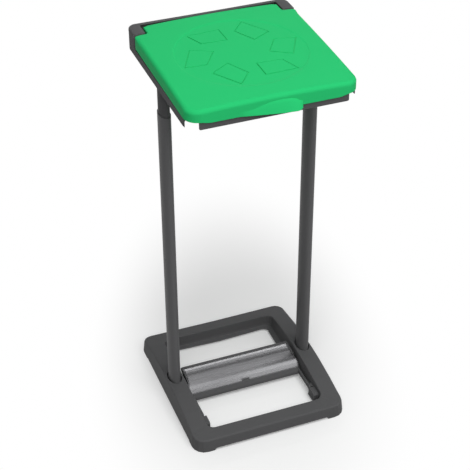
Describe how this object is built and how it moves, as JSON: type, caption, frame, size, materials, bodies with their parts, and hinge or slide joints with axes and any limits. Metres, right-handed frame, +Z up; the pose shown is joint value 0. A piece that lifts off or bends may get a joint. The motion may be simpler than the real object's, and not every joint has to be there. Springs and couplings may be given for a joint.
{
  "type": "bin bag holder",
  "caption": "Free-standing bin bag holder with a moulded base, oval posts and a ring head whose crowned lid is lifted by a foot pedal through rods and levers.",
  "frame": {"origin": "on the floor under the middle of the base", "axes": "+Z up, -Y towards the front where the pedal's hinge and the hand lip are, +X to its right"},
  "size_m": [0.42, 0.4544, 1.0012],
  "materials": {
    "dark_plastic": "fine moulded texture",
    "post_coating": "satin powder coat on oval aluminium tube",
    "pedal_steel": "satin, brushed along the pedal",
    "lid_plastic": "satin moulded",
    "link_steel": "plain drawn",
    "guide_plastic": "plain moulded",
    "pad_rubber": "matt"
  },
  "bodies": {
    "stand": {"base_frame": "dark_plastic", "foot_pad_front_left": "pad_rubber", "foot_pad_front_right": "pad_rubber", "foot_pad_rear_left": "pad_rubber", "foot_pad_rear_right": "pad_rubber", "post_left": "post_coating", "post_right": "post_coating", "head_frame": "dark_plastic", "rod_guide_left": "guide_plastic", "rod_guide_right": "guide_plastic", "lever_pin_left": "link_steel", "lever_pin_right": "link_steel", "lid_buffer_left": "pad_rubber", "lid_buffer_right": "pad_rubber"},
    "pedal": {"pedal_carrier": "dark_plastic", "pedal_plate": "pedal_steel"},
    "rod_left": {"lift_rod_left": "link_steel"},
    "rod_right": {"lift_rod_right": "link_steel"},
    "lever_left_body": {"lever_left": "dark_plastic"},
    "lever_right_body": {"lever_right": "dark_plastic"},
    "lid_body": {"lid": "lid_plastic", "hinge_crank_left": "link_steel", "hinge_crank_right": "link_steel"}
  },
  "joints": [
    {"name": "pedal_hinge", "type": "hinge", "parent": "stand", "child": "pedal", "pos_m": [0, -0.1146, 0.021], "axis": [-1, 0, 0], "range_deg": [0, 7.1]},
    {"name": "rod_slide_left", "type": "slide", "parent": "stand", "child": "rod_left", "axis": [0, 0, -1], "range_m": [0, 0.0158]},
    {"name": "lever_hinge_left", "type": "hinge", "parent": "stand", "child": "lever_left_body", "pos_m": [-0.1843, 0.0932, 0.9638], "axis": [1, 0, 0], "range_deg": [0, 11.3]},
    {"name": "rod_slide_right", "type": "slide", "parent": "stand", "child": "rod_right", "axis": [0, 0, -1], "range_m": [0, 0.0158]},
    {"name": "lever_hinge_right", "type": "hinge", "parent": "stand", "child": "lever_right_body", "pos_m": [0.1843, 0.0932, 0.9638], "axis": [1, 0, 0], "range_deg": [0, 11.3]},
    {"name": "lid_hinge", "type": "hinge", "parent": "stand", "child": "lid_body", "pos_m": [0, 0.192, 0.978], "axis": [-1, 0, 0], "range_deg": [0, 75.1]}
  ],
  "couplings": [
    {"joint": "rod_slide_left", "follows": "pedal_hinge", "m_per_rad": 0.127},
    {"joint": "lever_hinge_left", "follows": "pedal_hinge", "ratio": 1.586},
    {"joint": "rod_slide_right", "follows": "pedal_hinge", "m_per_rad": 0.127},
    {"joint": "lever_hinge_right", "follows": "pedal_hinge", "ratio": 1.586},
    {"joint": "lid_hinge", "follows": "pedal_hinge", "ratio": 10.563}
  ]
}
